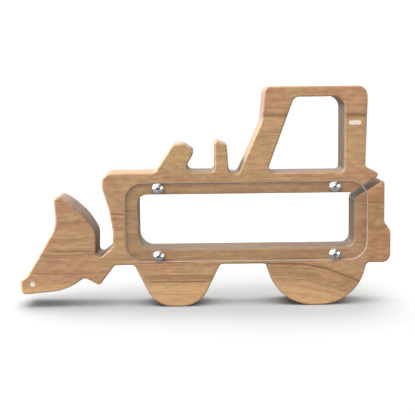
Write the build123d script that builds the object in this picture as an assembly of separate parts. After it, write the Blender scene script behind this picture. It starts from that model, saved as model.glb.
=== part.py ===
from build123d import *
import math
import os

os.makedirs("parts", exist_ok=True)

# A wooden money bank cut from one thick board in the outline of a wheel loader.
# The frame: +X from the bucket to the rear, +Y from the front face to the back face, +Z up.
# The wheels stand on z = 0 and the board is centred on x = 0 and y = 0. All sizes are in millimetres.

# Board
LENGTH = 270.0
THICKNESS = 35.0
FACE_ROUNDING = 1.5
HALF_LENGTH = LENGTH / 2
FACE = THICKNESS / 2
BELLY_HEIGHT = 31.1

# Wheels: centre, rounding radius, flat they stand on, slope of the sides, height where they leave the body
FRONT_WHEEL_X = -20.6
FRONT_WHEEL_RADIUS = 21.0
FRONT_WHEEL_FLAT = 6.0
FRONT_WHEEL_SIDE = 64.0
REAR_WHEEL_X = 81.1
REAR_WHEEL_RADIUS = 34.0
REAR_WHEEL_FLAT = 4.6
REAR_WHEEL_SIDE = 80.0
WHEEL_FILLET = 3.5

# Coin cavity, cut through the board
CAVITY_X = 30.0
CAVITY_Z = 62.2
CAVITY_WIDTH = 157.6
CAVITY_HEIGHT = 40.4
CAVITY_RADIUS = 6.5
CAVITY_FRONT_LOW_RADIUS = 10.5
CAVITY_ROUNDING = 0.8

# Coin slot, from the rear down into the cavity
SLOT_SLOPE = 32.6
SLOT_GAP = 4.4
SLOT_LOWER_X = 118.5
SLOT_LOWER_Z = 84.4
SLOT_ENTRY_RADIUS = 5.0
SLOT_UPPER_TIP_X = 127.9
REAR_WALL_X = 130.4

# Clear panels, their recesses and their screws
PANEL_WIDTH = 176.5
PANEL_HEIGHT = 58.1
PANEL_RADIUS = 13.3
PANEL_THICKNESS = 2.5
PANEL_EDGE_BREAK = 0.3
PANEL_CLEARANCE = 0.15
SEAT_GAP = 0.02
RECESS_DEPTH = 2.6
SCREW_SPACING_X = 128.0
SCREW_SPACING_Z = 49.4

SCREW_DIAMETER = 4.2
SCREW_CORE_DIAMETER = 3.1
SCREW_PITCH = 1.4
RING_FOOT = 0.35
SCREW_LENGTH = 13.0
SCREW_TIP_LENGTH = 2.4
SCREW_HEAD_DIAMETER = 8.2
SCREW_HEAD_HEIGHT = 2.9
SCREW_HEAD_EDGE = 0.8
CROSS_WIDTH = 4.4
CROSS_FOOT_WIDTH = 1.8
CROSS_ARM = 1.0
CROSS_DEPTH = 1.9
CROSS_CUT_ABOVE = 0.5
CROSS_TURNS = {"upper_left": 25, "upper_right": -20, "lower_left": 60, "lower_right": 5}
PILOT_END = 2.3
THREAD_CLEARANCE = 0.06
SHANK_CLEARANCE = 0.2

# Pale wooden inlays in the front face
PIN_DIAMETER = 4.0
PIN_HOLE_DEPTH = 12.0
PIN_HOLE_SPARE = 0.5
PIN_EDGE_BREAK = 0.2
PIN_X = -126.4
PIN_Z = 17.7
HANDLE_WIDTH = 9.2
HANDLE_HEIGHT = 3.2
HANDLE_END_FLAT = 0.1
HANDLE_DEPTH = 4.0
HANDLE_X = 108.4
HANDLE_Z = 133.1
INLAY_GAP = 0.03

# How far an edge may lie from a recess floor and still count as one of its edges
FLOOR_TOLERANCE = 0.01


def toward(start, end):
    """The unit vector in the x-z plane from one point to another."""
    dx, dz = end[0] - start[0], end[1] - start[1]
    length = math.hypot(dx, dz)
    return dx / length, dz / length


def rounded_face(corners, y):
    """A flat face at depth y whose outline is straight lines with an arc at each corner (x, z, radius)."""
    arcs = []
    for i, (x, z, radius) in enumerate(corners):
        back = toward((x, z), corners[i - 1])
        ahead = toward((x, z), corners[(i + 1) % len(corners)])
        half_angle = math.acos(back[0] * ahead[0] + back[1] * ahead[1]) / 2
        reach = radius / math.tan(half_angle)
        inward = toward((0, 0), (back[0] + ahead[0], back[1] + ahead[1]))
        sag = radius / math.sin(half_angle) - radius
        arcs.append((
            (x + back[0] * reach, y, z + back[1] * reach),
            (x + inward[0] * sag, y, z + inward[1] * sag),
            (x + ahead[0] * reach, y, z + ahead[1] * reach),
        ))
    edges = []
    for i, (start, middle, end) in enumerate(arcs):
        edges.append(Edge.make_line(arcs[i - 1][2], start))
        edges.append(Edge.make_three_point_arc(start, middle, end))
    return Face(Wire(edges))


def slab(face, depth):
    """Extrudes a face that lies in an x-z plane by depth along +Y."""
    return Solid.extrude(face, Vector(0, depth, 0))


def rounded_rectangle(width, height, radius, y):
    """A rectangle with round corners, centred on the coin cavity."""
    left, right = CAVITY_X - width / 2, CAVITY_X + width / 2
    low, high = CAVITY_Z - height / 2, CAVITY_Z + height / 2
    return rounded_face(
        [(left, low, radius), (right, low, radius), (right, high, radius), (left, high, radius)], y
    )


def wheel_corners(centre_x, radius, flat, side_angle):
    """The lower outline of a wheel: two sloping sides, joined by arcs to the flat that it stands on."""
    slope = math.radians(side_angle)
    foot = flat / 2 + radius * math.tan(slope / 2)
    shoulder = foot + BELLY_HEIGHT / math.tan(slope)
    return [
        (centre_x - shoulder, BELLY_HEIGHT, WHEEL_FILLET),
        (centre_x - foot, 0, radius),
        (centre_x + foot, 0, radius),
        (centre_x + shoulder, BELLY_HEIGHT, WHEEL_FILLET),
    ]


def slot_and_cavity_corners():
    """From the slot's lower lip down into the cavity, around it, and back out along the slot's upper wall."""
    slope = math.tan(math.radians(SLOT_SLOPE))
    rise = SLOT_GAP / math.cos(math.radians(SLOT_SLOPE))
    left, right = CAVITY_X - CAVITY_WIDTH / 2, CAVITY_X + CAVITY_WIDTH / 2
    low, high = CAVITY_Z - CAVITY_HEIGHT / 2, CAVITY_Z + CAVITY_HEIGHT / 2

    def lower_wall(x):
        return SLOT_LOWER_Z + (x - SLOT_LOWER_X) * slope

    upper_entry_x = SLOT_LOWER_X + (high - SLOT_LOWER_Z - rise) / slope
    return [
        (REAR_WALL_X, lower_wall(REAR_WALL_X), 1.8),
        (right, lower_wall(right), SLOT_ENTRY_RADIUS),
        (right, low, CAVITY_RADIUS),
        (left, low, CAVITY_FRONT_LOW_RADIUS),
        (left, high, CAVITY_RADIUS),
        (upper_entry_x, high, 2.0),
        (SLOT_UPPER_TIP_X, lower_wall(SLOT_UPPER_TIP_X) + rise, 2.2),
    ]


def board_corners():
    """The loader's outline, walked along the ground, up the rear, back over the top and down the bucket."""
    bucket_underside = [
        (-HALF_LENGTH, 9.9, 3.5),
        (-102.0, 12.9, 40.0),
        (-88.5, 22.2, 3.0),
        (-77.6, 16.4, 2.2),
        (-66.2, BELLY_HEIGHT, 3.0),
    ]
    front_wheel = wheel_corners(FRONT_WHEEL_X, FRONT_WHEEL_RADIUS, FRONT_WHEEL_FLAT, FRONT_WHEEL_SIDE)
    rear_wheel = wheel_corners(REAR_WHEEL_X, REAR_WHEEL_RADIUS, REAR_WHEEL_FLAT, REAR_WHEEL_SIDE)
    counterweight = [
        (HALF_LENGTH, BELLY_HEIGHT, 6.0),
        (HALF_LENGTH, 54.2, 5.0),
        (REAR_WALL_X, 61.3, 4.0),
    ]
    cab = [
        (116.3, 100.7, 5.0),
        (118.0, 159.5, 7.5),
        (43.5, 159.5, 4.5),
        (41.3, 134.5, 14.0),
        (24.4, 97.3, 3.0),
    ]
    air_cleaner_post = [
        (17.7, 97.3, 3.0),
        (16.3, 118.1, 1.9),
        (7.3, 121.3, 1.9),
        (7.2, 98.7, 3.0),
    ]
    exhaust_stack = [
        (-15.5, 98.7, 4.0),
        (-7.0, 113.7, 3.5),
        (-15.8, 119.2, 5.0),
        (-22.7, 118.9, 3.5),
        (-36.3, 98.4, 5.0),
    ]
    hood_front = [
        (-74.3, 98.4, 6.5),
        (-74.3, 87.5, 12.0),
        (-69.6, 72.0, 50.0),
        (-67.0, 56.0, 36.0),
        (-67.4, 44.6, 6.5),
        (-76.0, 37.7, 3.0),
        (-80.0, 37.7, 2.7),
    ]
    bucket_back = [
        (-79.5, 55.0, 14.0),
        (-87.5, 67.5, 30.0),
        (-99.0, 77.8, 30.0),
        (-106.0, 81.6, 3.0),
        (-109.5, 80.2, 1.9),
    ]
    bucket_front = [
        (-108.1, 60.6, 22.0),
        (-129.9, 24.2, 4.0),
        (-HALF_LENGTH, 20.6, 3.0),
    ]
    return (
        bucket_underside + front_wheel + rear_wheel + counterweight + slot_and_cavity_corners()
        + cab + air_cleaner_post + exhaust_stack + hood_front + bucket_back + bucket_front
    )


def cab_window_corners():
    """The open window of the cab, wider at the top, with a raked front pillar."""
    return [
        (44.9, 97.6, 4.0),
        (100.8, 97.6, 3.0),
        (100.8, 151.8, 8.0),
        (64.9, 151.8, 5.0),
    ]


def screw_places():
    """The name and centre of each of the four screws in a panel."""
    for upper, height in (("upper", 1), ("lower", -1)):
        for side, across in (("left", -1), ("right", 1)):
            x = CAVITY_X + across * SCREW_SPACING_X / 2
            z = CAVITY_Z + height * SCREW_SPACING_Z / 2
            yield f"{upper}_{side}", x, z


def rod(radius, x, z, start_y, end_y):
    """A round bar along Y."""
    base = Plane(origin=(x, start_y, z), z_dir=(0, 1, 0))
    return Solid.make_cylinder(radius, end_y - start_y, base)


def handle_bar(width, height, y, depth):
    """The stadium shape of the door handle inlay, from y inwards."""
    low, high = HANDLE_Z - height / 2, HANDLE_Z + height / 2
    left, right = HANDLE_X - width / 2, HANDLE_X + width / 2
    radius = (height - HANDLE_END_FLAT) / 2
    corners = [(left, low, radius), (right, low, radius), (right, high, radius), (left, high, radius)]
    return slab(rounded_face(corners, y), depth)


def cavity_rim(solid):
    """The edges where the two recess floors meet the walls of the cavity and the slot."""
    floor_y = FACE - RECESS_DEPTH
    recess_walls = slab(rounded_rectangle(PANEL_WIDTH, PANEL_HEIGHT, PANEL_RADIUS, -FACE), THICKNESS)
    rim = []
    for edge in solid.edges():
        box = edge.bounding_box()
        off_floor = abs(abs(edge.center().Y) - floor_y) + box.size.Y
        if off_floor < FLOOR_TOLERANCE and recess_walls.is_inside(edge.center()):
            rim.append(edge)
    return rim


def board():
    """The one-piece wooden body with its fixed wheels and bucket."""
    solid = slab(rounded_face(board_corners(), -FACE), THICKNESS)
    solid -= slab(rounded_face(cab_window_corners(), -FACE), THICKNESS)
    solid = fillet(solid.faces().filter_by(Axis.Y).edges(), FACE_ROUNDING)
    recess_width = PANEL_WIDTH + 2 * PANEL_CLEARANCE
    recess_height = PANEL_HEIGHT + 2 * PANEL_CLEARANCE
    recess_radius = PANEL_RADIUS + PANEL_CLEARANCE
    for y in (-FACE, FACE - RECESS_DEPTH):
        solid -= slab(rounded_rectangle(recess_width, recess_height, recess_radius, y), RECESS_DEPTH)
    solid = fillet(cavity_rim(solid), CAVITY_ROUNDING)
    pilot_radius = SCREW_DIAMETER / 2 + THREAD_CLEARANCE
    for _, x, z in screw_places():
        solid -= rod(pilot_radius, x, z, -FACE, -PILOT_END)
        solid -= rod(pilot_radius, x, z, PILOT_END, FACE)
    solid -= rod(PIN_DIAMETER / 2 + INLAY_GAP, PIN_X, PIN_Z, -FACE, -FACE + PIN_HOLE_DEPTH)
    solid -= handle_bar(HANDLE_WIDTH + 2 * INLAY_GAP, HANDLE_HEIGHT + 2 * INLAY_GAP, -FACE, HANDLE_DEPTH)
    return solid


def panel():
    """The clear front panel, with a clearance hole for each screw."""
    inner_y = -FACE + RECESS_DEPTH - SEAT_GAP
    outer_y = inner_y - PANEL_THICKNESS
    solid = slab(rounded_rectangle(PANEL_WIDTH, PANEL_HEIGHT, PANEL_RADIUS, outer_y), PANEL_THICKNESS)
    solid = chamfer(solid.faces().filter_by(Axis.Y).edges(), PANEL_EDGE_BREAK)
    for _, x, z in screw_places():
        solid -= rod(SCREW_DIAMETER / 2 + SHANK_CLEARANCE, x, z, outer_y, inner_y)
    return solid


def screw_profile():
    """Half the section of a round-head screw, axis up, with the underside of the head at height 0.

    The thread is a stack of rings, one for each pitch, down to the cone of the tip.
    """
    crest, core = SCREW_DIAMETER / 2, SCREW_CORE_DIAMETER / 2
    outline = [(0, SCREW_HEAD_HEIGHT), (0, -SCREW_LENGTH), (core, SCREW_TIP_LENGTH - SCREW_LENGTH)]
    ring_count = int((SCREW_LENGTH - SCREW_TIP_LENGTH) / SCREW_PITCH)
    for i in range(ring_count, 0, -1):
        height = -i * SCREW_PITCH
        outline.append((core, height - RING_FOOT * SCREW_PITCH))
        outline.append((crest, height))
        outline.append((core, height + RING_FOOT * SCREW_PITCH))
    outline.append((core, 0))
    outline.append((SCREW_HEAD_DIAMETER / 2, 0))
    outline.append((SCREW_HEAD_DIAMETER / 2, SCREW_HEAD_EDGE))
    return outline


def screw():
    """A round-head screw with a cross recess, axis along +Z, with the underside of its head at the origin."""
    points = screw_profile()
    crown_top, crown_foot = points[0], points[-1]
    edges = [Edge.make_line((a[0], 0, a[1]), (b[0], 0, b[1])) for a, b in zip(points, points[1:])]
    edges.append(Edge.make_tangent_arc((0, 0, crown_top[1]), (1, 0, 0), (crown_foot[0], 0, crown_foot[1])))
    solid = Solid.revolve(Face(Wire(edges)), 360, Axis.Z)
    for turn in (0, 90):
        solid -= Rot(0, 0, turn) * cross_wing()
    return solid


def cross_wing():
    """One wing of the cross recess, narrower at its foot."""
    top, foot = CROSS_WIDTH / 2, CROSS_FOOT_WIDTH / 2
    low, high = SCREW_HEAD_HEIGHT - CROSS_DEPTH, SCREW_HEAD_HEIGHT + CROSS_CUT_ABOVE
    section = Polyline((-foot, 0, low), (foot, 0, low), (top, 0, high), (-top, 0, high), close=True)
    return extrude(make_face(section), CROSS_ARM / 2, dir=(0, 1, 0), both=True)


def place_front(solid, x, z, turn):
    """Turns a screw to face the front, rotates its cross by turn degrees and seats it on the front panel."""
    seat_y = -FACE + RECESS_DEPTH - 2 * SEAT_GAP - PANEL_THICKNESS
    return Pos(x, seat_y, z) * Rot(90, 0, 0) * Rot(0, 0, turn) * solid


def bucket_pin():
    """The round pin in the bucket's lip."""
    pin = rod(PIN_DIAMETER / 2, PIN_X, PIN_Z, -FACE, -FACE + PIN_HOLE_DEPTH - PIN_HOLE_SPARE)
    return chamfer(pin.edges().filter_by(GeomType.CIRCLE), PIN_EDGE_BREAK)


def door_handle():
    """The bar let into the cab's rear pillar."""
    return handle_bar(HANDLE_WIDTH, HANDLE_HEIGHT, -FACE, HANDLE_DEPTH - INLAY_GAP)


def to_back(solid):
    """The same piece on the other face of the board."""
    return mirror(solid, about=Plane.XZ)


def save(solid, name):
    """Writes one piece as a STEP file named after its node."""
    solid.label = name
    export_step(solid, f"parts/{name}.step")


save(board(), "body_board")
save(panel(), "front_window_panel")
save(to_back(panel()), "rear_window_panel")
one_screw = screw()
for name, x, z in screw_places():
    front = place_front(one_screw, x, z, CROSS_TURNS[name])
    save(front, f"front_screw_{name}")
    save(to_back(front), f"rear_screw_{name}")
save(bucket_pin(), "bucket_pin")
save(door_handle(), "door_handle")
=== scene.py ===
import math

import bmesh
import bpy
from mathutils import Matrix, Vector


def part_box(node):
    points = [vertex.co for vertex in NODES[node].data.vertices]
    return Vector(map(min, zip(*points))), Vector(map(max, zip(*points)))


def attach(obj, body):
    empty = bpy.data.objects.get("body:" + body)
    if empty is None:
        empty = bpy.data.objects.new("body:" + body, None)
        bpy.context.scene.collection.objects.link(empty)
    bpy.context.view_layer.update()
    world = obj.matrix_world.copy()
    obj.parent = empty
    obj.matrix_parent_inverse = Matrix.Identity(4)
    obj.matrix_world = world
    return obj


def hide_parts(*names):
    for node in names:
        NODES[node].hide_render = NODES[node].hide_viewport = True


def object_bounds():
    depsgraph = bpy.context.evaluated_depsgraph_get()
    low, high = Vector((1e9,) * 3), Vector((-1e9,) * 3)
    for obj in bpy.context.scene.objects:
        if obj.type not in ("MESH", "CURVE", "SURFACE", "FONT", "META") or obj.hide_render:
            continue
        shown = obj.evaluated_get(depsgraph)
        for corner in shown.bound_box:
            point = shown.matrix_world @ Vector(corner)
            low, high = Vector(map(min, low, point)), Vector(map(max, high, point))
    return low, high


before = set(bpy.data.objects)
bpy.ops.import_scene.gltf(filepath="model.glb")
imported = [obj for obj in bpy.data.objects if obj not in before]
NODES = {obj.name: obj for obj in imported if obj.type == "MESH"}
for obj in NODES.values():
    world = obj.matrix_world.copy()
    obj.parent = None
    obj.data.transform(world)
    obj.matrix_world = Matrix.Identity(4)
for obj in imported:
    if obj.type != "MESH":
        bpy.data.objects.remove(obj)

CAD_LOW, CAD_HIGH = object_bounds()
MM = 0.001
BOARD_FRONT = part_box("body_board")[0].y / MM

# Single dark growth lines of the board, in millimetres in the row frame:
# height, half width, strength, where the line starts and ends along X.
DARK_LINES = (
    (138.3, 2.4, 0.60, 34, 66),
    (138.6, 3.0, 0.66, 98, 122),
    (143.5, 0.8, 0.25, 34, 66),
    (124.0, 0.8, 0.22, 28, 60),
    (94.2, 0.6, 0.30, -76, -20),
    (91.0, 0.7, 0.34, 20, 116),
    (88.4, 0.6, 0.26, 30, 100),
    (75.6, 0.9, 0.46, 114, 136),
    (71.0, 0.7, 0.24, 114, 136),
    (58.0, 2.6, 0.24, 112, 136),
    (48.0, 0.8, 0.22, 112, 136),
    (68.4, 0.9, 0.74, -72, -50),
    (64.8, 2.4, 0.24, -72, -55),
    (58.8, 1.4, 0.52, -72, -56),
    (62.6, 2.0, 0.44, -110, -82),
    (42.3, 1.0, 0.62, -114, -80),
    (39.8, 0.6, 0.30, -122, -78),
    (25.6, 0.9, 0.34, -128, -72),
    (36.4, 1.2, 0.34, -80, -45),
    (32.6, 0.6, 0.44, -52, 12),
    (30.2, 0.6, 0.36, -50, 10),
    (22.6, 0.9, 0.50, -48, 8),
    (20.4, 1.4, 0.26, -46, 6),
    (18.0, 0.9, 0.72, -44, 4),
    (9.0, 0.7, 0.26, -44, 4),
    (31.3, 1.0, 0.82, 38, 118),
    (28.4, 0.6, 0.42, 46, 90),
    (24.6, 0.6, 0.30, 46, 118),
    (20.4, 0.6, 0.34, 50, 118),
    (15.6, 0.7, 0.26, 50, 118),
    (9.6, 0.6, 0.24, 50, 112),
)


# Node helpers

def new_material(name):
    """An empty node material and its tree."""
    material = bpy.data.materials.new(name)
    material.use_nodes = True
    material.node_tree.nodes.clear()
    return material, material.node_tree


def add(tree, kind, inputs=None, **settings):
    """Adds a node, sets its properties, and links or sets its inputs by name or number."""
    made = tree.nodes.new(kind)
    for key, value in settings.items():
        setattr(made, key, value)
    for key, value in (inputs or {}).items():
        if isinstance(value, bpy.types.NodeSocket):
            tree.links.new(value, made.inputs[key])
        else:
            made.inputs[key].default_value = value
    return made


def math_node(tree, operation, *values, clamp=False):
    """The result of one Math node."""
    made = add(tree, "ShaderNodeMath", dict(enumerate(values)), operation=operation, use_clamp=clamp)
    return made.outputs[0]


def ramp(tree, value, low, high, start=0.0, end=1.0):
    """value mapped smoothly from low..high to start..end."""
    made = add(
        tree, "ShaderNodeMapRange",
        {"Value": value, "From Min": low, "From Max": high, "To Min": start, "To Max": end},
        interpolation_type="SMOOTHSTEP",
    )
    return made.outputs["Result"]


def mix_colour(tree, share, first, second):
    """Two colours mixed by share."""
    made = add(tree, "ShaderNodeMix", {0: share, 6: first, 7: second}, data_type="RGBA")
    return made.outputs[2]


def mix_value(tree, share, first, second):
    """Two values mixed by share."""
    return add(tree, "ShaderNodeMix", {0: share, 2: first, 3: second}).outputs[0]


def scaled(tree, value, factor, offset=0.0):
    """value * factor + offset."""
    return math_node(tree, "MULTIPLY_ADD", value, factor, offset)


def noise(tree, place, rates, detail, roughness=0.5, shift=0.0):
    """Noise at a place of three values. It changes along each at its own rate, and shift picks another part
    of the same noise."""
    point = add(tree, "ShaderNodeCombineXYZ", {
        0: scaled(tree, place[0], rates[0]),
        1: scaled(tree, place[1], rates[1], shift),
        2: scaled(tree, place[2], rates[2]),
    }).outputs[0]
    made = add(
        tree, "ShaderNodeTexNoise",
        {"Vector": point, "Scale": 1.0, "Detail": detail, "Roughness": roughness},
    )
    return made.outputs["Fac"]


def row_coordinates(tree):
    """The x, y and z sockets of the surface point, in millimetres in the row frame."""
    place = add(tree, "ShaderNodeTexCoord").outputs["Object"]
    big = add(tree, "ShaderNodeVectorMath", {0: place, "Scale": 1 / MM}, operation="SCALE").outputs[0]
    return add(tree, "ShaderNodeSeparateXYZ", {0: big}).outputs


def surface(tree, shader):
    """Joins a shader to the material's output."""
    add(tree, "ShaderNodeOutputMaterial", {"Surface": shader})


# Materials

PLAIN_LIGHT = (0.475, 0.275, 0.140, 1)
PLAIN_DARK = (0.375, 0.200, 0.097, 1)
PINKISH = (0.455, 0.235, 0.130, 1)
PINK_DARK = (0.370, 0.180, 0.100, 1)
REAR_DARK = (0.320, 0.160, 0.072, 1)
OLIVE = (0.430, 0.270, 0.120, 1)
PALE = (0.70, 0.42, 0.20, 1)
RING = (0.255, 0.130, 0.060, 1)
DARK_LINE = (0.150, 0.062, 0.028, 1)
PORE = (0.150, 0.075, 0.038, 1)
INLAY_LIGHT = (0.83, 0.72, 0.62, 1)
INLAY_DARK = (0.68, 0.54, 0.44, 1)
END_GRAIN = (0.20, 0.145, 0.115, 1)

# The light that the wood throws on other surfaces is nearly grey
BOUNCE = (0.24, 0.22, 0.20, 1)
BOUNCE_SHARE = 0.8

# How sawn edges differ from the sanded faces
SAWN_DARKENING = 0.32
SAWN_ROUGHENING = 0.15
SAWN_DULLING = 0.38

# How fast each pattern changes along X, along Y and upwards, in cycles per millimetre
WAVE_RATES = (0.016, 0.02, 0.03)
SMALL_WAVE_RATES = (0.045, 0.05, 0.08)
BAND_RATES = (0.008, 0.02, 0.14)
PINK_RATES = (0.05, 0.03, 0.10)
OLIVE_RATES = (0.06, 0.03, 0.11)
RING_RATES = (0.016, 0.06, 0.5)
STREAK_RATES = (0.045, 0.3, 1.1)
MOTTLE_RATES = (0.14, 0.3, 0.45)
PORE_RATES = (0.22, 2.0, 2.2)
INLAY_STREAK_RATES = (0.25, 1.5, 2.2)
SMEAR_RATES = (0.03, 0.03, 0.05)
SCRATCH_RATES = (0.12, 0.1, 3.0)
ZINC_CLOUD_RATES = (0.8, 0.8, 0.8)
ZINC_GRAIN_RATES = (6.0, 6.0, 6.0)
OLIVE_SHIFT = 40.0

# The growth layers, in millimetres: they arch about a line on the heart side of the board, wave up and down,
# and arch again behind a crown on the rear wheel. That arch starts at CROWN_TOP, going down, and is full at
# CROWN_FULL. Each dark line fades in and out over LINE_FADE.
HEART_SIDE = -9.0
RING_ARCH = 0.018
FRONT_FROM_HEART = BOARD_FRONT + HEART_SIDE
WAVE_HEIGHT = 4.0
SMALL_WAVE_HEIGHT = 1.2
CROWN_X = 55.0
CROWN_ARCH = 0.0042
CROWN_TOP = 36.0
CROWN_FULL = 30.0
LINE_FADE = 5

# Where the board's tone changes, in millimetres upwards or along X: where a change starts, then where it is
# full
ABOVE_HOOD = (96.0, 108.0)
BELOW_ROOF = (134.0, 124.0)
CAB_TOP = (136.0, 148.0)
WHEEL_FEET = (21.0, 12.0)
REAR_END = (112.0, 122.0)
BUCKET_END = (-78.0, -84.0)


def grain_height(tree, x, y, z):
    """The height of the growth layer through a point: z on the front face, with waves, arched through the
    thickness and again on the rear wheel."""
    wave = noise(tree, (x, y, z), WAVE_RATES, 1.0)
    small_wave = noise(tree, (x, y, z), SMALL_WAVE_RATES, 1.0)
    from_heart = math_node(tree, "POWER", scaled(tree, y, 1.0, HEART_SIDE), 2.0)
    at_front = RING_ARCH * FRONT_FROM_HEART ** 2
    layer = math_node(tree, "ADD", z, scaled(tree, from_heart, RING_ARCH, -at_front))
    layer = math_node(tree, "ADD", layer, scaled(tree, wave, WAVE_HEIGHT, -WAVE_HEIGHT / 2))
    layer = math_node(
        tree, "ADD", layer, scaled(tree, small_wave, SMALL_WAVE_HEIGHT, -SMALL_WAVE_HEIGHT / 2)
    )
    past_crown = math_node(tree, "MAXIMUM", scaled(tree, x, 1.0, -CROWN_X), 0.0)
    arch = scaled(tree, math_node(tree, "POWER", past_crown, 2.0), CROWN_ARCH)
    low_down = ramp(tree, z, CROWN_TOP, CROWN_FULL)
    return math_node(tree, "ADD", layer, math_node(tree, "MULTIPLY", arch, low_down))


def dark_lines(tree, x, layer):
    """The sum of the board's single dark growth lines at a point, 0 to 1."""
    total = None
    for height, half_width, strength, start, end in DARK_LINES:
        away = math_node(tree, "ABSOLUTE", scaled(tree, layer, 1.0, -height))
        line = ramp(tree, away, half_width, 0.0, 0.0, strength)
        begun = ramp(tree, x, start, start + LINE_FADE)
        not_ended = ramp(tree, x, end, end - LINE_FADE)
        line = math_node(tree, "MULTIPLY", line, math_node(tree, "MULTIPLY", begun, not_ended))
        total = line if total is None else math_node(tree, "ADD", total, line)
    return total


def board_tones(tree, x, y, z, layer):
    """The slow changes of the board's colour: bands, pinkish and olive patches, pale wheels, a dark rear."""
    bands = noise(tree, (x, y, layer), BAND_RATES, 2.0)
    pink = noise(tree, (x, y, z), PINK_RATES, 2.0)
    olive = noise(tree, (x, y, z), OLIVE_RATES, 2.0, shift=OLIVE_SHIFT)
    colour = mix_colour(tree, ramp(tree, bands, 0.36, 0.64), PLAIN_DARK, PLAIN_LIGHT)
    colour = mix_colour(tree, ramp(tree, pink, 0.46, 0.62, 0.0, 0.75), colour, PINKISH)
    colour = mix_colour(tree, ramp(tree, olive, 0.48, 0.64, 0.0, 0.75), colour, OLIVE)
    above_hood = math_node(tree, "MULTIPLY", ramp(tree, z, *ABOVE_HOOD), ramp(tree, z, *BELOW_ROOF))
    colour = mix_colour(tree, scaled(tree, above_hood, 0.4), colour, OLIVE)
    colour = mix_colour(tree, ramp(tree, x, *REAR_END, 0.0, 0.6), colour, REAR_DARK)
    colour = mix_colour(tree, ramp(tree, x, *BUCKET_END, 0.0, 0.3), colour, PINK_DARK)
    colour = mix_colour(tree, ramp(tree, z, *CAB_TOP, 0.0, 0.25), colour, PINK_DARK)
    return mix_colour(tree, ramp(tree, layer, *WHEEL_FEET, 0.0, 0.75), colour, PALE)


def board_wood():
    """Warm light brown board with straight grain along X, fine pores, and darker end grain."""
    material, tree = new_material("board_wood")
    x, y, z = row_coordinates(tree)
    layer = grain_height(tree, x, y, z)
    rings = noise(tree, (x, y, layer), RING_RATES, 2.0, 0.55)
    streaks = noise(tree, (x, y, layer), STREAK_RATES, 3.0, 0.6)
    mottle = noise(tree, (x, y, z), MOTTLE_RATES, 2.0, 0.6)
    pores = noise(tree, (x, y, layer), PORE_RATES, 1.0)

    colour = board_tones(tree, x, y, z, layer)
    colour = mix_colour(tree, ramp(tree, rings, 0.50, 0.66, 0.0, 0.20), colour, RING)
    colour = mix_colour(tree, ramp(tree, rings, 0.48, 0.34, 0.0, 0.22), colour, PALE)
    colour = mix_colour(tree, ramp(tree, streaks, 0.50, 0.66, 0.0, 0.20), colour, RING)
    colour = mix_colour(tree, ramp(tree, mottle, 0.52, 0.36, 0.0, 0.24), colour, PALE)
    colour = mix_colour(tree, ramp(tree, mottle, 0.52, 0.68, 0.0, 0.20), colour, RING)
    colour = mix_colour(tree, dark_lines(tree, x, layer), colour, DARK_LINE)
    pore_share = ramp(tree, pores, 0.64, 0.72, 0.0, 0.4)
    colour = mix_colour(tree, pore_share, colour, PORE)

    normal = add(tree, "ShaderNodeTexCoord").outputs["Normal"]
    along, across, _ = add(tree, "ShaderNodeSeparateXYZ", {0: normal}).outputs
    sawn = ramp(tree, math_node(tree, "ABSOLUTE", across), 0.5, 0.1)
    end_grain = ramp(tree, math_node(tree, "ABSOLUTE", along), 0.45, 0.95, 0.0, 0.4)
    darker = math_node(tree, "ADD", scaled(tree, sawn, SAWN_DARKENING), end_grain)
    colour = mix_colour(tree, darker, colour, END_GRAIN)
    bounced = add(tree, "ShaderNodeLightPath").outputs["Is Diffuse Ray"]
    colour = mix_colour(tree, scaled(tree, bounced, BOUNCE_SHARE), colour, BOUNCE)

    height = math_node(tree, "SUBTRACT", scaled(tree, streaks, 0.4), pore_share)
    bump = add(tree, "ShaderNodeBump", {"Height": height, "Strength": 0.25, "Distance": 0.0002})
    roughness = math_node(
        tree, "ADD", scaled(tree, streaks, 0.16, 0.30), scaled(tree, sawn, SAWN_ROUGHENING)
    )
    shader = add(tree, "ShaderNodeBsdfPrincipled", {
        "Base Color": colour, "Roughness": roughness, "Normal": bump.outputs[0],
        "Specular IOR Level": scaled(tree, sawn, -SAWN_DULLING, 0.5),
    })
    surface(tree, shader.outputs[0])
    return material


def inlay_wood():
    """Pale close-grained wood for the pin and the handle."""
    material, tree = new_material("inlay_wood")
    x, y, z = row_coordinates(tree)
    streaks = noise(tree, (x, y, z), INLAY_STREAK_RATES, 3.0, 0.6)
    colour = mix_colour(tree, ramp(tree, streaks, 0.35, 0.7), INLAY_LIGHT, INLAY_DARK)
    bump = add(tree, "ShaderNodeBump", {"Height": streaks, "Strength": 0.2, "Distance": 0.0001})
    shader = add(tree, "ShaderNodeBsdfPrincipled", {
        "Base Color": colour, "Roughness": scaled(tree, streaks, 0.2, 0.35), "Normal": bump.outputs[0],
    })
    surface(tree, shader.outputs[0])
    return material


# How much of the acrylic is its surface and not see-through: on the broken edges, on the cut sides, and how
# much of that still holds in its shadow. The pale warm tone of these edges is partly real frosting and
# partly a painted highlight for the light that the sheet carries to its edges.
GROUND_EDGE_FROST_AND_HIGHLIGHT = 0.6
CUT_SIDE_FROST_AND_HIGHLIGHT = 0.15
SHADOW_SHARE = 0.2
ACRYLIC_IOR = 1.49
ACRYLIC_CLEAR = (0.966, 0.970, 0.968, 1)
ACRYLIC_SURFACE_AND_EDGE_HIGHLIGHT = (0.92, 0.80, 0.66, 1)


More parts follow.
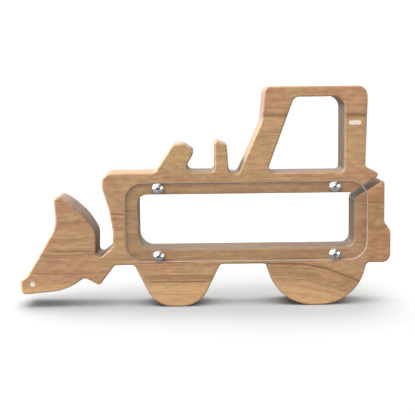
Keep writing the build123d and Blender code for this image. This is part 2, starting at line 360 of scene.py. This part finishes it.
def clear_acrylic():
    """Clear polished sheet: see-through, with a mirror sheen, a faint haze and pale broken edges. The edges'
    pale tone is partly real frosting and partly a painted highlight.
    """
    material, tree = new_material("clear_acrylic")
    x, y, z = row_coordinates(tree)
    smear = noise(tree, (x, y, z), SMEAR_RATES, 3.0, 0.6)
    scratch = noise(tree, (x, y, z), SCRATCH_RATES, 2.0)
    roughness = math_node(
        tree, "ADD", scaled(tree, smear, 0.08, 0.01), ramp(tree, scratch, 0.66, 0.74, 0.0, 0.08)
    )
    normal = add(tree, "ShaderNodeTexCoord").outputs["Normal"]
    facing = math_node(tree, "ABSOLUTE", add(tree, "ShaderNodeSeparateXYZ", {0: normal}).outputs[1])
    polished = ramp(tree, facing, 0.78, 0.95)
    leaving = add(tree, "ShaderNodeNewGeometry").outputs["Backfacing"]
    mirror = add(tree, "ShaderNodeFresnel", {"IOR": ACRYLIC_IOR}).outputs[0]
    mirror = math_node(tree, "MULTIPLY", mirror, scaled(tree, leaving, -1.0, 1.0))
    share = math_node(tree, "ADD", mirror, scaled(tree, smear, 0.01))
    # Partly a painted highlight: broken edges and cut sides get an opaque pale warm surface, partly real
    # frosting
    edge_frost_and_highlight = ramp(tree, facing, 0.2, 0.5, CUT_SIDE_FROST_AND_HIGHLIGHT, GROUND_EDGE_FROST_AND_HIGHLIGHT)
    edge_frost_and_highlight = math_node(tree, "MULTIPLY", edge_frost_and_highlight, scaled(tree, polished, -1.0, 1.0))
    share = math_node(tree, "ADD", share, edge_frost_and_highlight, clamp=True)
    in_shadow = add(tree, "ShaderNodeLightPath").outputs["Is Shadow Ray"]
    share = math_node(tree, "MULTIPLY", share, scaled(tree, in_shadow, SHADOW_SHARE - 1.0, 1.0))
    clear = add(tree, "ShaderNodeBsdfTransparent", {"Color": ACRYLIC_CLEAR})
    gloss = add(tree, "ShaderNodeBsdfPrincipled", {
        "Base Color": ACRYLIC_SURFACE_AND_EDGE_HIGHLIGHT, "Metallic": polished, "IOR": ACRYLIC_IOR,
        "Roughness": math_node(tree, "ADD", roughness, scaled(tree, polished, -0.4, 0.4)),
    })
    both = add(tree, "ShaderNodeMixShader", {0: share, 1: clear.outputs[0], 2: gloss.outputs[0]})
    surface(tree, both.outputs[0])
    return material


def zinc_steel(name, bright, dull, roughness):
    """Zinc plating with a fine grain and small changes of tone and polish."""
    material, tree = new_material(name)
    x, y, z = row_coordinates(tree)
    cloud = noise(tree, (x, y, z), ZINC_CLOUD_RATES, 3.0, 0.6)
    grain = noise(tree, (x, y, z), ZINC_GRAIN_RATES, 2.0)
    colour = mix_colour(tree, ramp(tree, cloud, 0.35, 0.7), bright, dull)
    bump = add(tree, "ShaderNodeBump", {"Height": grain, "Strength": 0.15, "Distance": 0.00005})
    shader = add(tree, "ShaderNodeBsdfPrincipled", {
        "Base Color": colour, "Metallic": 1.0, "Roughness": scaled(tree, cloud, 0.22, roughness),
        "Normal": bump.outputs[0],
    })
    surface(tree, shader.outputs[0])
    return material


def floor_paint():
    """Matt white: white in the picture, also through the clear panels, with soft bounce light."""
    material, tree = new_material("floor_paint")
    paths = add(tree, "ShaderNodeLightPath").outputs
    seen = scaled(tree, paths["Transparent Depth"], FLOOR_SEEN * LOST_PER_SURFACE, FLOOR_SEEN)
    tone = mix_value(tree, paths["Is Glossy Ray"], FLOOR_BOUNCE, FLOOR_MIRRORED)
    tone = mix_value(tree, paths["Is Camera Ray"], tone, seen)
    colour = add(tree, "ShaderNodeCombineColor", {0: tone, 1: tone, 2: tone}).outputs[0]
    shader = add(tree, "ShaderNodeBsdfDiffuse", {"Color": colour})
    surface(tree, shader.outputs[0])
    return material


def paint(node_name, material):
    """Gives a CAD node its material."""
    slots = NODES[node_name].material_slots
    for slot in slots:
        slot.material = material
    if not slots:
        NODES[node_name].data.materials.append(material)


def paint_object():
    """Every CAD node that stays in view gets its finish."""
    wood, inlay, acrylic = board_wood(), inlay_wood(), clear_acrylic()
    for name in NODES:
        if "panel" in name:
            paint(name, acrylic)
        elif name == "body_board":
            paint(name, wood)
        elif "screw" not in name:
            paint(name, inlay)


# Screws: the CAD head, with a true helical thread in place of the CAD rings

# The thread's ridge reaches RIDGE_FOOT of a pitch to each side. The point takes TIP_SHARE of the length.
THREAD_PITCH = 1.4 * MM
ROWS_PER_PITCH = 10
RIDGE_FOOT = 0.36
TIP_SHARE = 0.18

# How the parts of a CAD screw are told apart. Points closer than WELD are one. The rim of the head lies past
# RIM_SHARE of its reach, and its upper edge less than RIM_TOP of the way down the head. The shank starts
# SEAT_STEP below the head. The cross lies within CROSS_REACH of the head's reach, and RECESS_STEP below its
# dome.
WELD = 0.002 * MM
SEAT_STEP = 0.01 * MM
RECESS_STEP = 0.08 * MM
RIM_SHARE = 0.98
RIM_TOP = 0.9
CROSS_REACH = 0.7
CREASE_ANGLE = 40

ZINC_BRIGHT = (0.80, 0.81, 0.82, 1)
ZINC_DULL = (0.62, 0.64, 0.67, 1)
# The cross recess is painted near black: painted shade that stands in for the shade inside the recess
RECESS_SHADE_BRIGHT = (0.16, 0.17, 0.19, 1)
RECESS_SHADE_DULL = (0.09, 0.10, 0.12, 1)


class ScrewAxis:
    """The axis of a CAD screw: where it lies, and which way it points into the wood."""

    def __init__(self, node):
        low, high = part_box(node)
        self.middle = (low + high) / 2
        self.inward = 1.0 if self.middle.y < 0 else -1.0
        self.head_y, self.tip_y = (low.y, high.y) if self.inward > 0 else (high.y, low.y)

    def depth(self, point):
        """How far a point lies below the top of the head."""
        return (point.y - self.head_y) * self.inward

    def reach(self, point):
        """How far a point lies from the axis."""
        return math.hypot(point.x - self.middle.x, point.z - self.middle.z)

    def angle(self, point):
        """The angle of a point about the axis, turning right-handed into the wood."""
        return math.atan2(-self.inward * (point.z - self.middle.z), point.x - self.middle.x)

    def place(self, reach, angle, depth):
        """The point at a distance and angle about the axis, below the top of the head."""
        x = self.middle.x + reach * math.cos(angle)
        z = self.middle.z - self.inward * reach * math.sin(angle)
        return Vector((x, self.head_y + self.inward * depth, z))


def thread_reach(core, crest, length, angle, down):
    """The distance from the axis to the threaded surface, at a distance down from the head."""
    turn = (down / THREAD_PITCH - angle / math.tau + 0.5) % 1.0 - 0.5
    ridge = max(0.0, 1.0 - abs(turn) / RIDGE_FOOT) * min(1.0, down / THREAD_PITCH)
    taper = min(1.0, (length - down) / (length * TIP_SHARE))
    return (core + (crest - core) * ridge) * taper


def add_thread(form, axis, seat, crest):
    """Closes the open underside of a screw's head with a threaded shank and a point."""
    rim = sorted((v for v in form.verts if v.is_boundary), key=lambda v: axis.angle(v.co))
    angles = [axis.angle(v.co) for v in rim]
    core = axis.reach(rim[0].co)
    length = abs(axis.tip_y - axis.head_y) - seat
    row_count = round(length / THREAD_PITCH * ROWS_PER_PITCH)
    above = rim
    for row in range(1, row_count):
        down = length * row / row_count
        below = []
        for angle in angles:
            reach = thread_reach(core, crest, length, angle, down)
            below.append(form.verts.new(axis.place(reach, angle, seat + down)))
        for i in range(len(angles)):
            form.faces.new((above[i - 1], above[i], below[i], below[i - 1]))
        above = below
    point = form.verts.new(axis.place(0.0, 0.0, seat + length))
    for i in range(len(angles)):
        form.faces.new((above[i - 1], above[i], point))


def mark_recess_shade(form, axis, head_reach, seat):
    """Gives the faces of the cross recess the second material, a dark painted shade: those that lie below
    the head's dome.
    """
    rim = [v.co for v in form.verts if axis.reach(v.co) > RIM_SHARE * head_reach]
    rim_depth = max(axis.depth(point) for point in rim if axis.depth(point) < RIM_TOP * seat)
    dome = (head_reach ** 2 + rim_depth ** 2) / (2 * rim_depth)
    for face in form.faces:
        middle = face.calc_center_median()
        from_centre = math.hypot(axis.reach(middle), dome - axis.depth(middle))
        in_head = axis.depth(middle) < seat - RECESS_STEP and axis.reach(middle) < CROSS_REACH * head_reach
        if in_head and from_centre < dome - RECESS_STEP:
            face.material_index = 1


def make_screw(node, metals):
    """One screw that stands for a CAD screw."""
    axis = ScrewAxis(node)
    form = bmesh.new()
    form.from_mesh(NODES[node].data)
    bmesh.ops.remove_doubles(form, verts=form.verts, dist=WELD)
    head_reach = max(axis.reach(v.co) for v in form.verts)
    seat = max(axis.depth(v.co) for v in form.verts if axis.reach(v.co) > RIM_SHARE * head_reach)
    shank = [v for v in form.verts if axis.depth(v.co) > seat + SEAT_STEP]
    crest = max(axis.reach(v.co) for v in shank)
    bmesh.ops.delete(form, geom=shank, context="VERTS")
    mark_recess_shade(form, axis, head_reach, seat)
    add_thread(form, axis, seat, crest)
    bmesh.ops.recalc_face_normals(form, faces=form.faces)
    mesh = bpy.data.meshes.new(node + "_threaded")
    form.to_mesh(mesh)
    form.free()
    for metal in metals:
        mesh.materials.append(metal)
    mesh.shade_smooth()
    mesh.set_sharp_from_angle(angle=math.radians(CREASE_ANGLE))
    piece = bpy.data.objects.new(node + "_threaded", mesh)
    bpy.context.scene.collection.objects.link(piece)
    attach(piece, node)
    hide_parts(node)


def make_screws():
    """All the screws. Each rides on the body of its own name."""
    metals = (
        zinc_steel("zinc_steel", ZINC_BRIGHT, ZINC_DULL, 0.12),
        # Painted shade: a near-black zinc for the faces of the cross recess
        zinc_steel("zinc_recess_shade", RECESS_SHADE_BRIGHT, RECESS_SHADE_DULL, 0.35),
    )
    for node in NODES:
        if "screw" in node:
            make_screw(node, metals)


# Stage, light and camera

# The floor's tone to the camera, what each clear surface takes from it, and its tone to other surfaces
FLOOR_SEEN = 0.61
LOST_PER_SURFACE = 0.08
FLOOR_BOUNCE = 0.37
FLOOR_MIRRORED = 0.25
FLOOR_HALF_WIDTH = 12.0
FLOOR_DROP = 0.1 * MM

# The strength of the surround: its soft light, what the camera sees, and what glossy surfaces see
AMBIENT = 0.5
BACKGROUND = 1.3
DIM_ROOM = 0.12
BACK_WALL = 0.9
CEILING = 1.2
LEFT_BOX = 3.5
RIGHT_BOX = 4.5

# Where glossy surfaces see them, as parts of a unit vector: where each starts and where it is full, how high
# the middle of the left box lies, and how far the boxes reach above and below their middles. They are full
# over BOX_CORE of that reach.
LEFT_BOX_SIDE = (-0.55, -0.75)
LEFT_BOX_HEIGHT = 0.25
LEFT_BOX_REACH = 0.75
RIGHT_BOX_SIDE = (0.65, 0.80)
RIGHT_BOX_REACH = 0.5
CEILING_SIDE = (0.75, 0.95)
BACK_WALL_SIDE = (0.1, 0.5)
BOX_CORE = 0.6

# Each light on the object: its name, the direction it comes from, its width in degrees, its brightness
OBJECT_LIGHTS = (
    ("key", (-0.38, -0.76, 0.52), 60.0, 0.65),
    ("rim", (-0.76, 0.0, 0.65), 15.0, 1.8),
    ("rear_fill", (-0.25, 0.92, 0.30), 60.0, 0.45),
    ("right_fill", (0.95, 0.22, 0.20), 20.0, 0.40),
)

# The floor's own lights: the name of each and the direction it comes from
FLOOR_LIGHTS = (
    ("floor_front", (0, -0.6, 0.8)),
    ("floor_back", (0, 0.6, 0.8)),
    ("floor_top", (0, 0, 1)),
)
FLOOR_LIGHT_WIDTH = 60.0
FLOOR_LIGHT_BRIGHTNESS = 0.5

# The camera: millimetres along X, in front of the board and above the floor, then degrees, then millimetres
CAMERA_X = -2.0
CAMERA_DISTANCE = 715.8
CAMERA_HEIGHT = 159.4
CAMERA_YAW = 0.31
CAMERA_PITCH = 6.89
CAMERA_ROLL = -0.64
SENSOR_WIDTH = 36.0
LENS = 86.4


def make_floor():
    """A wide pale floor, just below the wheels."""
    mesh = bpy.data.meshes.new("floor")
    half = FLOOR_HALF_WIDTH
    corners = [(-half, -half, 0), (half, -half, 0), (half, half, 0), (-half, half, 0)]
    mesh.from_pydata(corners, [], [(0, 1, 2, 3)])
    floor = bpy.data.objects.new("floor", mesh)
    floor.location.z = CAD_LOW.z - FLOOR_DROP
    mesh.materials.append(floor_paint())
    bpy.context.scene.collection.objects.link(floor)
    return floor


def soft_sun(name, toward, spread, brightness, floor, for_floor=False):
    """A wide soft light from the direction toward. It lights white that faces it to brightness, and either
    everything but the floor or the floor alone."""
    data = bpy.data.lights.new(name, "SUN")
    data.angle = math.radians(spread)
    data.energy = brightness * math.pi
    light = bpy.data.objects.new(name, data)
    light.rotation_mode = "QUATERNION"
    light.rotation_quaternion = Vector(toward).to_track_quat("Z", "Y")
    bpy.context.scene.collection.objects.link(light)
    receivers = bpy.data.collections.new(name + "_receivers")
    receivers.objects.link(floor)
    receivers.collection_objects[0].light_linking.link_state = "INCLUDE" if for_floor else "EXCLUDE"
    light.light_linking.receiver_collection = receivers


def make_lights(floor):
    """The object's lights and the floor's lights."""
    for name, toward, spread, brightness in OBJECT_LIGHTS:
        soft_sun(name, toward, spread, brightness, floor)
    for name, toward in FLOOR_LIGHTS:
        soft_sun(name, toward, FLOOR_LIGHT_WIDTH, FLOOR_LIGHT_BRIGHTNESS, floor, for_floor=True)


def soft_box(tree, along, side, across, reach):
    """The share of a soft box that fills the directions past its side, within reach of its middle."""
    height = math_node(tree, "ABSOLUTE", across)
    level = ramp(tree, height, reach, reach * BOX_CORE)
    return math_node(tree, "MULTIPLY", ramp(tree, along, *side), level)


def make_world():
    """A white surround that gives soft light. Glossy surfaces see bright boxes to the left and right, a
    ceiling and a back wall, in a dim room."""
    world = bpy.data.worlds.new("surround")
    world.use_nodes = True
    tree = world.node_tree
    tree.nodes.clear()
    paths = add(tree, "ShaderNodeLightPath").outputs
    toward = add(tree, "ShaderNodeTexCoord").outputs["Generated"]
    left_right, front_back, up = add(tree, "ShaderNodeSeparateXYZ", {0: toward}).outputs
    above_left = scaled(tree, up, 1.0, -LEFT_BOX_HEIGHT)
    lights = (
        scaled(tree, soft_box(tree, left_right, LEFT_BOX_SIDE, above_left, LEFT_BOX_REACH), LEFT_BOX),
        scaled(tree, soft_box(tree, left_right, RIGHT_BOX_SIDE, up, RIGHT_BOX_REACH), RIGHT_BOX),
        ramp(tree, up, *CEILING_SIDE, 0.0, CEILING),
        ramp(tree, front_back, *BACK_WALL_SIDE, 0.0, BACK_WALL),
    )
    reflected = DIM_ROOM
    for light in lights:
        reflected = math_node(tree, "MAXIMUM", reflected, light)
    strength = mix_value(tree, paths["Is Glossy Ray"], AMBIENT, reflected)
    strength = mix_value(tree, paths["Is Camera Ray"], strength, BACKGROUND)
    light = add(tree, "ShaderNodeBackground", {"Color": (1, 1, 1, 1), "Strength": strength})
    add(tree, "ShaderNodeOutputWorld", {"Surface": light.outputs[0]})
    bpy.context.scene.world = world


def make_camera():
    """A camera in front of the object, a little above it and turned slightly down."""
    yaw, pitch, roll = (math.radians(angle) for angle in (CAMERA_YAW, CAMERA_PITCH, CAMERA_ROLL))
    ahead = Vector((math.sin(yaw) * math.cos(pitch), math.cos(yaw) * math.cos(pitch), -math.sin(pitch)))
    right = Vector((math.cos(yaw), -math.sin(yaw), 0))
    up = right.cross(ahead)
    tilted_right = right * math.cos(roll) + up * math.sin(roll)
    tilted_up = up * math.cos(roll) - right * math.sin(roll)
    data = bpy.data.cameras.new("camera")
    data.sensor_width = SENSOR_WIDTH
    data.lens = LENS
    camera = bpy.data.objects.new("camera", data)
    turn = Matrix((tilted_right, tilted_up, -ahead)).transposed().to_4x4()
    place = Vector((CAMERA_X, BOARD_FRONT - CAMERA_DISTANCE, CAMERA_HEIGHT)) * MM
    camera.matrix_world = Matrix.Translation(place) @ turn
    bpy.context.scene.collection.objects.link(camera)
    bpy.context.scene.camera = camera


paint_object()
make_screws()
make_lights(make_floor())
make_world()
make_camera()
bpy.context.scene.view_settings.view_transform = "Standard"
